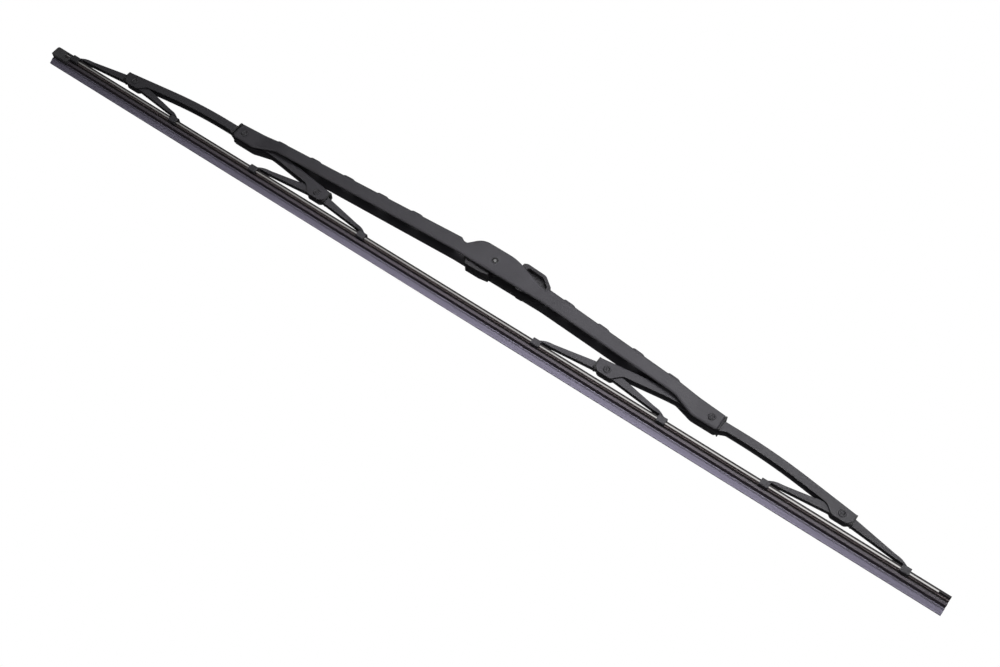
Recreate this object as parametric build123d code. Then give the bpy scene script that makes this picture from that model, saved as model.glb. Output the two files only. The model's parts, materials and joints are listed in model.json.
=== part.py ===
from build123d import *
from math import atan, degrees
import os

# A bow-frame wiper blade: a primary bridge carries two secondary bridges, each of
# those carries two yokes, and the yokes' claws hold a rubber squeegee stiffened by
# two steel rails. An adapter on the cross pin takes the hook of the wiper arm.
# Sizes are in millimetres. Working frame: X from the blade's middle, Z from the
# middle plane of the rails. Finished pieces move so that the cross pin is the origin.

# Layout along the blade
pin_from_middle = 12.4
centre_gap = 119.4
yoke_span = 79.5
yoke_gap = 61.8
inner_arm = 60.2
overhang_left = 14.3
overhang_right = 24.7

# Heights of the pivots over the rails
pin_height = 29.0
secondary_pivot_height = 17.0
yoke_pivot_height = 9.5

# Flexor rails, let into the sides of the rubber's head
rail_outer = 4.2
rail_width = 2.45
rail_thick = 0.9
rail_fit = 0.05
rail_edge_round = 0.18
rail_setback = 6.4

# Rubber squeegee section, half widths and heights
head_half = 3.0
head_top = 1.75
head_round = 0.5
neck_half = 2.55
shoulder_half = 3.1
shoulder_gap = 0.45
shoulder_thick = 1.95
hinge_half = 0.55
hinge_height = 1.15
lip_half = 2.2
lip_side = 0.45
lip_height = 3.6
edge_half = 0.4

# Claws
claw_length = 5.0
claw_sheet = 0.8
claw_play = 0.15
finger_thick = 1.0
claw_round = 1.2

# Yokes
yoke_width = 3.2
yoke_sheet = 0.8
yoke_crown = 2.3
yoke_crown_half = 3.0
yoke_crown_round = 8.0
yoke_belly = 2.85
yoke_belly_half = 6.0
yoke_belly_round = 20.0
yoke_tip_back = 4.2
yoke_tip_rise = 2.9
yoke_nose_round = 12.0
yoke_nose_rise = 0.7
yoke_toe_round = 1.2
yoke_foot_rise = 0.86
yoke_foot_inset = 0.3
yoke_foot_outset = 2.6
yoke_corner = 0.4
yoke_flare = 2.5
yoke_flare_length = 6.0
yoke_flare_round = 3.0

# Secondary bridges
secondary_sheet = 0.8
secondary_crown = 2.8
secondary_wall = 5.0
secondary_crown_in = 21.5
secondary_crown_out = 36.5
secondary_arch = 320.0
secondary_inner_arch = 105.0
secondary_belly = 4.0
secondary_belly_half = 6.5
secondary_belly_round = 1.5
secondary_ear_depth = 3.6
secondary_ear_half = 4.2
secondary_ear_run = 5.0
secondary_ear_lead = 5.0
secondary_ear_sweep = 2.0
secondary_reach = 6.5
secondary_chamfer = 2.4
secondary_corner = 3.0

# Primary bridge
primary_sheet = 1.0
primary_bend = 1.4
taper_start = 133.5
taper_end_back = 11.0
taper_round = 32.0
primary_reach = 6.0
primary_ear_depth = 5.2
primary_ear_half = 9.5
primary_ear_run = 13.5
primary_ear_lead = 12.0
primary_ear_sweep = 9.0
primary_corner = 2.0
primary_web_corner = 0.8
ear_start_drop = 0.6
web_at_opening = 2.4
waist_depth = 7.2
waist_round = 40.0
opening_left = 24.3
opening_right = 35.6
saddle_level = 1.0
saddle_run = 2.4
saddle_flat = 2.0
saddle_round = 1.0
hump_crown = 8.2
hump_rise = 6.5
hump_flat_right = 9.0
hump_fall_end = 31.0
hump_round = 10.0
hump_fall_round = 30.0

# Raised slots along the primary's web
slot_pitch = 23.5
slot_from_opening_left = 31.1
slot_from_opening_right = 12.5
slots_left = 5
slots_right = 4
slot_length = 6.2
slot_width = 6.9
slot_round = 1.2
rim_wall = 1.1
rim_proud = 1.25
rim_edge = 0.45
rim_margin = 0.3

# Pivots: rivets in plastic saddles that keep the channels apart
rivet_shank = 2.6
rivet_head = 4.3
rivet_head_thick = 0.6
rivet_dimple = 1.9
rivet_dimple_deep = 0.35
running_fit = 0.05
bridge_bush_wall = 0.7
yoke_bush_wall = 0.4
bush_back = 4.2
bush_foot = 1.0
bush_roof = 0.4
bridge_room = 0.8
inner_yoke_room = 1.75
outer_yoke_room = 1.0
flange_thick = 0.7
flange_rim = 0.15
cross_pin = 5.0
tenon = 3.4
peen = 4.0
peen_thick = 0.3
peen_dimple = 1.9
peen_dimple_deep = 0.5

# Adapter for the arm's hook, measured from the cross pin
hook_width = 9.0
hook_play = 0.1
adapter_plate = 0.75
adapter_play = 0.15
adapter_round = 3.0
adapter_corner = 1.0
drum_radius = 3.6
seat_half = 2.2
cheek_top = 6.4
cheek_half = 8.0
nose_reach = 17.0
nose_drop = 4.0
nose_slant = 3.0
nose_brow = 2.0
plate_drop = 6.6
plate_drop_left = 13.0
cradle_half = 4.1
cradle_wall = 0.8
cradle_drop = 9.8
cradle_left = 13.9
cradle_knee = 5.0
cradle_right = 0.8
cradle_tip_drop = 8.9
hook_floor = 7.75
floor_thick = 0.85
nose_wall = 1.5
nose_wall_top = 3.9
lug_left = 12.9
lug_right = 8.6
lug_flat = 1.6
lug_top = 6.0
rib_left = 7.3
rib_thick = 1.2
tail_shoulder = 3.4
tail_top = 0.2
tail_back = 4.0
tail_drop = 6.0
tail_round = 6.0
tab_start = 19.0
tab_end = 22.5
tab_slant = 2.5
tab_drop = 7.6
tongue_root = 12.5
tongue_thick = 1.9
tongue_top = 10.0
tongue_brow = 0.9
tongue_brow_drop = 1.0
tongue_rise = 3.0
tongue_fall = 28.0
tongue_fall_drop = 0.7
tongue_lip = 4.4
tongue_web_half = 0.6
tongue_web_foot = 1.5
tongue_half = 3.9
tongue_round = 2.5
foot_reach = 34.4
foot_drop = 2.4
foot_length = 4.5
foot_thick = 1.5

# Rubber end cap
cap_wall = 0.8
cap_end_wall = 0.9
cap_roof = 0.5
cap_gap = 0.6
cap_post = 0.9
cap_window = 3.2
cap_window_top = 0.9
cap_window_bottom = 2.2
cap_lip = 0.7
cap_fit = 0.06
cap_round = 2.2
cap_end_round = 0.5

# Places worked out from the layout
pin_x = pin_from_middle
inner_yoke_x = centre_gap / 2 + yoke_span / 2
outer_yoke_x = inner_yoke_x + yoke_span + yoke_gap
secondary_x = inner_yoke_x + inner_arm
last_claw_x = outer_yoke_x + yoke_span / 2
rubber_left = -(last_claw_x + overhang_left)
rubber_right = last_claw_x + overhang_right
primary_end_x = secondary_x + primary_reach

# Widths worked out from the nesting of yoke, secondary, primary and adapter
yoke_half = yoke_width / 2
secondary_half = yoke_half + yoke_bush_wall + secondary_sheet
primary_end_half = secondary_half + bridge_bush_wall + primary_sheet
plate_inner = hook_width / 2 + hook_play
adapter_half = plate_inner + adapter_plate
primary_half = adapter_half + adapter_play + primary_sheet

# Levels worked out from the rails upwards and downwards
claw_inner = rail_outer + claw_play
claw_outer = claw_inner + claw_sheet
claw_ceiling = head_top + claw_play
claw_top = claw_ceiling + claw_sheet
finger_top = -rail_thick / 2 - claw_play
finger_bottom = finger_top - finger_thick
finger_tip = neck_half + claw_play
shoulder_top = finger_bottom - shoulder_gap
shoulder_bottom = shoulder_top - shoulder_thick
lip_top = shoulder_bottom - hinge_height
edge_bottom = lip_top - lip_height
secondary_crown_z = secondary_pivot_height + secondary_crown
yoke_crown_z = yoke_pivot_height + yoke_crown
primary_end_z = secondary_crown_z + bridge_room + bush_roof + primary_sheet
inner_ear_z = yoke_crown_z + inner_yoke_room + bush_roof + secondary_sheet
outer_ear_z = yoke_crown_z + outer_yoke_room + bush_roof + secondary_sheet

# How far a cut runs past what it cuts, and how deep joined shapes of one piece meet
far = 60.0
past = 1.0
bite = 0.2


def sharp(points):
    """Corners without a radius."""
    return [(a, b, 0.0) for a, b in points]


def outline_face(corners):
    """A face from corners, each with its two coordinates and its radius."""
    points = [(a, b) for a, b, _ in corners]
    radii = [radius for _, _, radius in corners]
    return make_face(FilletPolyline(*points, radius=radii, close=True))


def side_prism(corners, half):
    """A prism with an outline seen from the side, as deep as half to each side of Y = 0."""
    return extrude(Plane.XZ * outline_face(corners), amount=half, both=True)


def plan_prism(near, knee_radius):
    """A tall prism from the near half of an outline seen from above, with rounded knees."""
    last = len(near) - 1
    half = [(x, y, 0.0 if i in (0, last) else knee_radius) for i, (x, y) in enumerate(near)]
    return extrude(outline_face(half + [(x, -y, r) for x, y, r in reversed(half)]), amount=far, both=True)


def cross_cylinder(diameter, x, z, half):
    """A cylinder along Y."""
    return Pos(x, 0, z) * Rot(90, 0, 0) * Cylinder(diameter / 2, 2 * half)


def block(x0, x1, half, z0, z1):
    """A box that is symmetric about Y = 0."""
    return Pos((x0 + x1) / 2, 0, (z0 + z1) / 2) * Box(x1 - x0, 2 * half, z1 - z0)


def pivot_bore(x, z):
    """What is cut for a rivet that turns in its hole."""
    return cross_cylinder(rivet_shank + 2 * running_fit, x, z, far)


def bend_edges(solid, radius, lowest):
    """Rounds a channel's long upper edges, where the sheet turns down into its walls."""
    along_blade = 0.9

    def is_bend(edge):
        middle = edge @ 0.5
        return middle.Z > lowest(middle.X) and abs((edge % 0.5).X) > along_blade

    return fillet([edge for edge in solid.edges() if is_bend(edge)], radius)


def primary_web(x):
    """Height of the primary bridge's web, which falls straight from its opening to each end."""
    side = 1 if x > pin_x else -1
    start_x = pin_x + opening_right if side > 0 else pin_x - opening_left
    start_z = pin_height + web_at_opening
    share = (x - start_x) / (side * primary_end_x - start_x)
    return start_z + share * (primary_end_z - start_z)


def primary_outline():
    """Side outline of the primary bridge."""
    left = pin_x - opening_left
    right = pin_x + opening_right
    web = pin_height + web_at_opening
    saddle = pin_height + saddle_level
    hump = pin_height + hump_crown
    waist = pin_height - waist_depth
    ear = secondary_pivot_height - primary_ear_depth
    ear_x = secondary_x - primary_ear_half
    run_x = ear_x - primary_ear_run
    run_z = secondary_pivot_height - ear_start_drop
    rise_x = left + saddle_run + saddle_flat
    return [
        (-primary_end_x, primary_end_z, primary_web_corner),
        (left, web, saddle_round / 2),
        (left + saddle_run, saddle, saddle_round),
        (rise_x, saddle, saddle_round),
        (rise_x + hump_rise, hump, hump_round),
        (pin_x + hump_flat_right, hump, hump_fall_round),
        (pin_x + hump_fall_end, saddle, saddle_round),
        (right - saddle_run, saddle, saddle_round),
        (right, web, saddle_round / 2),
        (primary_end_x, primary_end_z, primary_web_corner),
        (primary_end_x, ear, primary_corner),
        (ear_x, ear, primary_ear_sweep),
        (run_x, run_z, primary_ear_lead),
        (right, waist, waist_round),
        (left, waist, waist_round),
        (-run_x, run_z, primary_ear_lead),
        (-ear_x, ear, primary_ear_sweep),
        (-primary_end_x, ear, primary_corner),
    ]


def primary_plan(inset):
    """Plan outline of the primary bridge, drawn in by inset and run past its ends."""
    wide = primary_half - inset
    slim = primary_end_half - inset
    slim_x = secondary_x - taper_end_back
    end_x = primary_end_x + past
    near = [(-end_x, -slim), (-slim_x, -slim), (-taper_start, -wide),
            (taper_start, -wide), (slim_x, -slim), (end_x, -slim)]
    return plan_prism(near, taper_round)


def web_flat(x):
    """Half width of the flat part of the primary's web at x, between the bends."""
    slim_x = secondary_x - taper_end_back
    share = min(1.0, max(0.0, (abs(x) - taper_start) / (slim_x - taper_start)))
    return primary_half + share * (primary_end_half - primary_half) - primary_bend


def web_slot(x):
    """A raised rim round a slot across the web at x, square to it: what is added and what is cut."""
    slope = primary_web(x + past) - primary_web(x)
    seat = Pos(x, 0, primary_web(x)) * Rot(0, -degrees(atan(slope / past)), 0)
    room = web_flat(abs(x) + slot_length / 2 + rim_wall) - rim_wall - rim_margin
    width = min(slot_width, 2 * room)
    rim = RectangleRounded(slot_length + 2 * rim_wall, width + 2 * rim_wall, slot_round + rim_wall)
    collar = Pos(0, 0, -primary_sheet / 2) * extrude(rim, amount=rim_proud + primary_sheet / 2)
    collar = fillet(collar.edges().group_by(Axis.Z)[-1], rim_edge)
    hole = extrude(RectangleRounded(slot_length, width, slot_round), amount=2 * primary_sheet, both=True)
    return seat * collar, seat * hole


def make_primary():
    """The primary bridge: a pressed channel, open above at the hump and slotted along its web."""
    left = pin_x - opening_left
    right = pin_x + opening_right
    shell = side_prism(primary_outline(), primary_half) & primary_plan(0.0)

    def on_web(x):
        return far if left < x < right else primary_web(x) - bite

    shell = bend_edges(shell, primary_bend, on_web)
    end_x = primary_end_x + past
    under_web = [(x, primary_web(x) - primary_sheet) for x in (-end_x, left, right, end_x)]
    hollow = under_web[:2] + [(left, far), (right, far)] + under_web[2:] + [(end_x, -far), (-end_x, -far)]
    bridge = shell - (side_prism(sharp(hollow), primary_half) & primary_plan(primary_sheet))
    places = [left - slot_from_opening_left - slot_pitch * i for i in range(slots_left)]
    places += [right + slot_from_opening_right + slot_pitch * i for i in range(slots_right)]
    for x in places:
        rim, hole = web_slot(x)
        bridge = bridge + rim - hole
    for x in (-secondary_x, secondary_x):
        bridge -= pivot_bore(x, secondary_pivot_height)
    return bridge - cross_cylinder(tenon, pin_x, pin_height, far)


def secondary_top(x):
    """Height of the secondary bridge's roof towards its ends, where it falls straight to the ears."""
    if x < secondary_x:
        knee, ear_x, ear_z = secondary_x - secondary_crown_in, inner_yoke_x, inner_ear_z
    else:
        knee, ear_x, ear_z = secondary_x + secondary_crown_out, outer_yoke_x, outer_ear_z
    return secondary_crown_z + (ear_z - secondary_crown_z) * (x - knee) / (ear_x - knee)


def secondary_roof(drop, extra):
    """Roof line of the secondary bridge, lowered by drop and run past its ends by extra."""
    inner_x = inner_yoke_x - secondary_reach - extra
    outer_x = outer_yoke_x + secondary_reach + extra
    return [
        (inner_x, secondary_top(inner_x) - drop, 0.0),
        (secondary_x - secondary_crown_in, secondary_crown_z - drop, secondary_arch),
        (secondary_x + secondary_crown_out, secondary_crown_z - drop, secondary_arch),
        (outer_x, secondary_top(outer_x) - drop, 0.0),
    ]


def make_secondary():
    """The right-hand secondary bridge."""
    inner_end = inner_yoke_x - secondary_reach
    outer_end = outer_yoke_x + secondary_reach
    ear = yoke_pivot_height - secondary_ear_depth
    belly = secondary_pivot_height - secondary_belly
    wall = secondary_crown_z - secondary_wall
    outer_ear = outer_yoke_x - secondary_ear_half
    inner_ear = inner_yoke_x + secondary_ear_half
    outer_run = outer_ear - secondary_ear_run
    inner_run = inner_ear + secondary_ear_run
    belly_run = secondary_belly_half + secondary_belly
    under = [
        (outer_end, ear + secondary_chamfer, secondary_corner),
        (outer_end - secondary_chamfer, ear, secondary_corner),
        (outer_ear, ear, secondary_ear_sweep),
        (outer_run, secondary_top(outer_run) - secondary_wall, secondary_ear_lead),
        (secondary_x + secondary_crown_out, wall, secondary_arch),
        (secondary_x + belly_run, wall, 2 * secondary_belly_round),
        (secondary_x + secondary_belly_half, belly, secondary_belly_round),
        (secondary_x - secondary_belly_half, belly, secondary_belly_round),
        (secondary_x - belly_run, wall, 2 * secondary_belly_round),
        (secondary_x - secondary_crown_in, wall, secondary_inner_arch),
        (inner_run, secondary_top(inner_run) - secondary_wall, secondary_ear_lead),
        (inner_ear, ear, secondary_ear_sweep),
        (inner_end + secondary_chamfer, ear, secondary_corner),
        (inner_end, ear + secondary_chamfer, secondary_corner),
    ]
    shell = side_prism(secondary_roof(0.0, 0.0) + under, secondary_half)

    def near_roof(x):
        return min(secondary_top(x), secondary_crown_z) - secondary_wall / 2

    shell = bend_edges(shell, secondary_sheet, near_roof)
    roof = secondary_roof(secondary_sheet, past)
    open_below = [(roof[-1][0], -far), (roof[0][0], -far)]
    bridge = shell - side_prism(roof + sharp(open_below), secondary_half - secondary_sheet)
    bridge -= pivot_bore(secondary_x, secondary_pivot_height)
    for x in (inner_yoke_x, outer_yoke_x):
        bridge -= pivot_bore(x, yoke_pivot_height)
    return bridge


def make_claw(x):
    """A claw at x: a strap over the rubber's head with a finger hooked under each rail."""
    claw = block(x - claw_length / 2, x + claw_length / 2, claw_outer, finger_bottom, claw_top)
    claw = fillet(claw.edges().filter_by(Axis.X).group_by(Axis.Z)[-1], claw_round)
    claw = fillet(claw.edges().filter_by(Axis.X).group_by(Axis.Z)[0], finger_thick / 2)
    inside = block(x - claw_length, x + claw_length, claw_inner, finger_top, claw_ceiling)
    mouth = block(x - claw_length, x + claw_length, finger_tip, -far, claw_ceiling)
    return claw - inside - mouth


def make_yoke(pivot_x):
    """A yoke: a slim channel that arches from its pivot to a claw at each end."""
    half_span = yoke_span / 2
    belly = yoke_pivot_height - yoke_belly
    tip = half_span - yoke_tip_back
    tip_z = claw_top + yoke_tip_rise
    fall = (yoke_crown_z - tip_z) / (tip - yoke_crown_half)
    seat = claw_top - claw_sheet / 2
    foot_in = half_span - claw_length / 2 + yoke_foot_inset
    foot_out = half_span + claw_length / 2 - yoke_foot_outset
    right = [
        (yoke_crown_half, yoke_crown_z, yoke_crown_round),
        (tip, tip_z, yoke_nose_round),
        (foot_out, claw_top + yoke_nose_rise, yoke_toe_round),
        (foot_out, seat, 0.0),
        (foot_in, seat, 0.0),
        (foot_in, claw_top + yoke_foot_rise, yoke_corner),
        (yoke_belly_half, belly, yoke_belly_round),
    ]
    left = [(-x, z, radius) for x, z, radius in reversed(right)]
    bar = side_prism(right + left, far)
    flare_x = foot_in - yoke_flare_length
    end_x = half_span + claw_length
    near = [(-end_x, -yoke_flare), (-foot_in, -yoke_flare), (-flare_x, -yoke_half),
            (flare_x, -yoke_half), (foot_in, -yoke_flare), (end_x, -yoke_flare)]
    bar = bar & plan_prism(near, yoke_flare_round)
    hollow_x = flare_x + yoke_flare_length / 2
    hollow_z = yoke_crown_z - fall * (hollow_x - yoke_crown_half) - yoke_sheet
    hollow = [(yoke_crown_half, yoke_crown_z - yoke_sheet), (hollow_x, hollow_z), (hollow_x, -far)]
    hollow += [(-x, z) for x, z in reversed(hollow)]
    bar -= side_prism(sharp(hollow), yoke_half - yoke_sheet)
    bar -= pivot_bore(0, yoke_pivot_height)
    return Pos(pivot_x, 0, 0) * (bar + make_claw(-half_span) + make_claw(half_span))


def make_rivet(x, z, half):
    """A rivet across a channel, with a ringed head formed against each wall."""
    tip = half + rivet_head_thick
    profile = [
        (0, 0), (rivet_shank / 2, 0), (rivet_shank / 2, half), (rivet_head / 2, half),
        (rivet_head / 2, half + rivet_head_thick / 2), (rivet_head / 2 - rivet_head_thick / 2, tip),
        (rivet_dimple / 2, tip), (rivet_dimple / 2 - rivet_dimple_deep / 2, tip - rivet_dimple_deep),
        (0, tip - rivet_dimple_deep),
    ]
    one_end = revolve(make_face(Polyline(*profile, close=True)), Axis.Y)
    return Pos(x, 0, z) * (one_end + mirror(one_end, about=Plane.XZ))


def make_bush(x, z, outward, inner_half, shell_half, sheet, bend, roof, foot, reach):
    """A plastic saddle that lines a channel's end round a pivot, with a flange over the sheet's edge.

    outward is the sign of X towards the channel's end, roof gives the channel's upper face
    and foot is the level of its lower edge there.
    """
    end_x = x + outward * reach
    back_x = x - outward * bush_back
    rim_x = end_x + outward * flange_thick
    bottom = foot + bush_foot

    def under(at, drop):
        return (at, roof(at) - drop)

    outside = [under(back_x, sheet), under(rim_x, sheet), (rim_x, bottom), (back_x, bottom)]
    saddle = side_prism(sharp(outside), shell_half - sheet)
    brim = [under(end_x, -flange_rim), under(rim_x, -flange_rim), (rim_x, bottom), (end_x, bottom)]
    saddle += bend_edges(side_prism(sharp(brim), shell_half + flange_rim), bend + flange_rim,
                         lambda at: roof(at) - bend)
    back_clear = back_x - outward * past
    rim_clear = rim_x + outward * past
    inside = [under(back_clear, sheet + bush_roof), under(rim_clear, sheet + bush_roof),
              (rim_clear, -far), (back_clear, -far)]
    saddle -= side_prism(sharp(inside), inner_half + running_fit)
    return saddle - pivot_bore(x, z)


def make_bridge_bush(side):
    """The saddle at an end of the primary bridge; the web's slope differs between the two ends."""
    foot = secondary_pivot_height - primary_ear_depth
    return make_bush(side * secondary_x, secondary_pivot_height, side, secondary_half,
                     primary_end_half, primary_sheet, primary_bend, primary_web, foot, primary_reach)


def make_yoke_bush(x, outward):
    foot = yoke_pivot_height - secondary_ear_depth
    return make_bush(x, yoke_pivot_height, outward, yoke_half, secondary_half, secondary_sheet,
                     secondary_sheet, secondary_top, foot, secondary_reach)


def make_cross_pin():
    """The pin that the adapter turns on: a shoulder inside each wall, a tenon through it, peened over."""
    inner = primary_half - primary_sheet
    tip = primary_half + peen_thick
    floor = tip - peen_dimple_deep
    profile = [
        (0, 0), (cross_pin / 2, 0), (cross_pin / 2, inner), (tenon / 2, inner), (tenon / 2, primary_half),
        (peen / 2, primary_half), (peen / 2, tip - peen_thick / 2), (peen / 2 - peen_thick / 2, tip),
        (peen_dimple / 2, tip), (peen_dimple / 2 - peen_dimple_deep / 2, floor), (0, floor),
    ]
    one_end = revolve(make_face(Polyline(*profile, close=True)), Axis.Y)
    return Pos(pin_x, 0, pin_height) * (one_end + mirror(one_end, about=Plane.XZ))


def make_cradle():
    """What the hook's end lies in under the drum: a slanted nose wall, a lug and a ribbed floor."""
    nose_inner = nose_wall - nose_reach
    lug_crest = -lug_right - lug_flat
    floor = [(-cradle_left, -cradle_drop), (-cradle_knee, -cradle_drop), (cradle_right, -cradle_tip_drop),
             (cradle_right, -hook_floor), (-cradle_left, -hook_floor)]
    nose = [(-nose_reach, -nose_wall_top), (nose_inner, -nose_wall_top),
            (nose_wall - cradle_left, -cradle_drop), (-cradle_left, -cradle_drop)]
    lug = [(-lug_left, -hook_floor - bite), (-lug_left, -hook_floor), (lug_crest, -lug_top),
           (-lug_right, -lug_top), (-lug_right, -hook_floor - bite)]
    cradle = side_prism(sharp(floor), cradle_half)
    cradle += side_prism(sharp(nose), cradle_half)
    cradle += side_prism(sharp(lug), cradle_half)
    for left, right, top in ((-nose_reach, nose_inner, nose_wall_top), (lug_crest, -lug_right, lug_top)):
        cradle += block(left, right, plate_inner + bite, -plate_drop, -top)
    pockets = ((nose_wall - cradle_left, -rib_left), (rib_thick - rib_left, cradle_right + past))
    for left, right in pockets:
        cradle -= block(left, right, cradle_half - cradle_wall, -far, -hook_floor - floor_thick)
    return cradle


def make_adapter():
    """The moulded hook adapter: two side plates, a drum on the pin, a cradle and a sprung tongue."""
    tongue_back = tongue_root + tongue_thick
    plate = [
        (-nose_reach, -nose_drop, adapter_corner),
        (-nose_reach + nose_slant, nose_brow, adapter_round),
        (-cheek_half, cheek_top, adapter_round),
        (cheek_half, cheek_top, adapter_round),
        (tongue_back, tail_shoulder, adapter_round),
        (foot_reach - tail_back, tail_top, adapter_corner),
        (foot_reach - tail_back, -foot_drop, adapter_corner),
        (tab_end + tab_slant, -tail_drop, adapter_corner),
        (tab_end, -tab_drop, adapter_corner),
        (tab_start, -tab_drop, adapter_corner),
        (tab_start - tab_slant, -tail_drop, adapter_corner),
        (0.0, -plate_drop, tail_round),
        (-plate_drop_left, -plate_drop, adapter_round),
    ]
    plates = side_prism(plate, adapter_half) - block(-far, far, plate_inner, -far, far)
    between = plate_inner + bite
    drum = cross_cylinder(2 * drum_radius, 0, 0, between)
    seat = block(0, tongue_back, between, -seat_half, seat_half)
    under_top = tongue_top - tongue_thick
    fall_top = tongue_top - tongue_fall_drop
    inner_foot = foot_reach - tongue_thick
    bow = [
        (tongue_root, -seat_half, 0.0),
        (tongue_root, seat_half, adapter_corner),
        (tongue_root + tongue_brow, tongue_top - tongue_brow_drop, adapter_corner / 2),
        (tongue_root + tongue_rise, tongue_top, tongue_round),
        (tongue_fall, fall_top, tongue_round + tongue_thick),
        (foot_reach, tongue_lip, adapter_corner),
        (foot_reach, -foot_drop, adapter_corner / 2),
        (inner_foot, -foot_drop, adapter_corner / 2),
        (inner_foot, tongue_lip - tongue_thick / 2, adapter_corner),
        (tongue_fall - tongue_thick / 3, fall_top - tongue_thick, tongue_round),
        (tongue_back + tongue_rise, under_top, adapter_corner),
        (tongue_back, seat_half, adapter_corner),
        (tongue_back, -seat_half, 0.0),
    ]
    tongue = side_prism(bow, tongue_half)
    web = [(tongue_back - bite, -tongue_web_foot), (tongue_back - bite, seat_half),
           (tongue_back + tongue_rise, under_top + bite), (tongue_fall, fall_top - tongue_thick + bite),
           (inner_foot + bite, tongue_lip - tongue_thick / 2), (inner_foot + bite, -tongue_web_foot)]
    tongue += side_prism(sharp(web), tongue_web_half)
    foot = block(foot_reach - foot_length, foot_reach, between, -foot_drop, foot_thick - foot_drop)
    adapter = plates + drum + seat + make_cradle() + tongue + foot
    adapter -= cross_cylinder(cross_pin + 2 * running_fit, 0, 0, far)
    return Pos(pin_x, 0, pin_height) * adapter


def rubber_section():
    """Right half of the squeegee's section, from the head's middle down to the wiping edge."""
    groove = rail_thick / 2 + rail_fit
    groove_in = rail_outer - rail_width - rail_fit
    return [
        (0, head_top), (head_half - head_round, head_top), (head_half, head_top - head_round),
        (head_half, groove), (groove_in, groove), (groove_in, -groove), (neck_half, -groove),
        (neck_half, shoulder_top), (shoulder_half, shoulder_top), (shoulder_half, shoulder_bottom),
        (hinge_half, shoulder_bottom), (hinge_half, lip_top), (lip_half, lip_top),
        (lip_half, lip_top - lip_side), (edge_half, edge_bottom), (0, edge_bottom),
    ]


def make_rubber():
    """The squeegee, one extruded length."""
    half = make_face(Polyline(*rubber_section(), close=True))
    section = Plane.YZ * (half + mirror(half, about=Plane.YZ))
    return Pos(rubber_left, 0, 0) * extrude(section, amount=rubber_right - rubber_left)


def make_rail():
    """The rail on the far side."""
    length = rubber_right - rail_setback - rubber_left
    rail = Pos(rubber_left + length / 2, rail_outer - rail_width / 2, 0) * Box(length, rail_width, rail_thick)
    return fillet(rail.edges().filter_by(Axis.X), rail_edge_round)


def make_end_cap():
    """The cap over the left end of the rails and of the rubber, with a snap window in each side."""
    right = -last_claw_x - claw_length / 2 - cap_gap
    left = rubber_left - cap_end_wall
    cap = block(left, right, rail_outer + cap_fit + cap_wall, shoulder_bottom - cap_lip,
                head_top + cap_fit + cap_roof)
    cap = fillet(cap.edges().filter_by(Axis.X).group_by(Axis.Z)[-1], cap_round)
    cap = fillet(cap.edges().group_by(Axis.X)[0], cap_end_round)
    slots = [
        (rail_outer, -rail_thick / 2 - cap_fit, rail_thick / 2 + cap_fit),
        (head_half, 0.0, head_top + cap_fit),
        (shoulder_half, shoulder_bottom - cap_fit, 0.0),
        (hinge_half, -far, 0.0),
    ]
    for slot_half, low, high in slots:
        cap -= block(rubber_left - cap_fit, right + past, slot_half + cap_fit, low, high)
    window_right = right - cap_post
    return cap - block(window_right - cap_window, window_right, far, -cap_window_bottom, cap_window_top)


def build_pieces():
    """Every piece of the blade by name, in the working frame."""
    right_hand = {
        "secondary_bridge": make_secondary(),
        "inner_yoke": make_yoke(inner_yoke_x),
        "outer_yoke": make_yoke(outer_yoke_x),
        "inner_yoke_bush": make_yoke_bush(inner_yoke_x, -1),
        "outer_yoke_bush": make_yoke_bush(outer_yoke_x, 1),
        "bridge_pivot_rivet": make_rivet(secondary_x, secondary_pivot_height, primary_end_half),
        "inner_yoke_rivet": make_rivet(inner_yoke_x, yoke_pivot_height, secondary_half),
        "outer_yoke_rivet": make_rivet(outer_yoke_x, yoke_pivot_height, secondary_half),
    }
    rail = make_rail()
    pieces = {
        "primary_bridge": make_primary(),
        "bridge_pivot_bush_left": make_bridge_bush(-1),
        "bridge_pivot_bush_right": make_bridge_bush(1),
        "cross_pin": make_cross_pin(),
        "hook_adapter": make_adapter(),
        "rubber_squeegee": make_rubber(),
        "flexor_rail_back": rail,
        "flexor_rail_front": mirror(rail, about=Plane.XZ),
        "rubber_end_cap": make_end_cap(),
    }
    for name, piece in right_hand.items():
        pieces[name + "_right"] = piece
        pieces[name + "_left"] = mirror(piece, about=Plane.YZ)
    return pieces


os.makedirs("parts", exist_ok=True)
for name, piece in build_pieces().items():
    placed = Pos(-pin_x, 0, -pin_height) * piece
    placed.label = name
    export_step(placed, f"parts/{name}.step")
    print(name, round(placed.volume, 1))
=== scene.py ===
# %% [markdown]
# # A bow-frame wiper blade
# The blade is a tree of pressed steel levers. One long bridge carries two shorter ones, those
# carry four yokes, and the yokes' claws hold a rubber squeegee stiffened by two steel rails.
# The levers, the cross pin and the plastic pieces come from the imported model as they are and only
# get a finish here. The rubber and the rails have to bend when the levers move, and the rivets have
# finely spun heads, so these are made anew.

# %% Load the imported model
import json
import math

import bmesh
import bpy
from mathutils import Matrix, Vector


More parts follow.
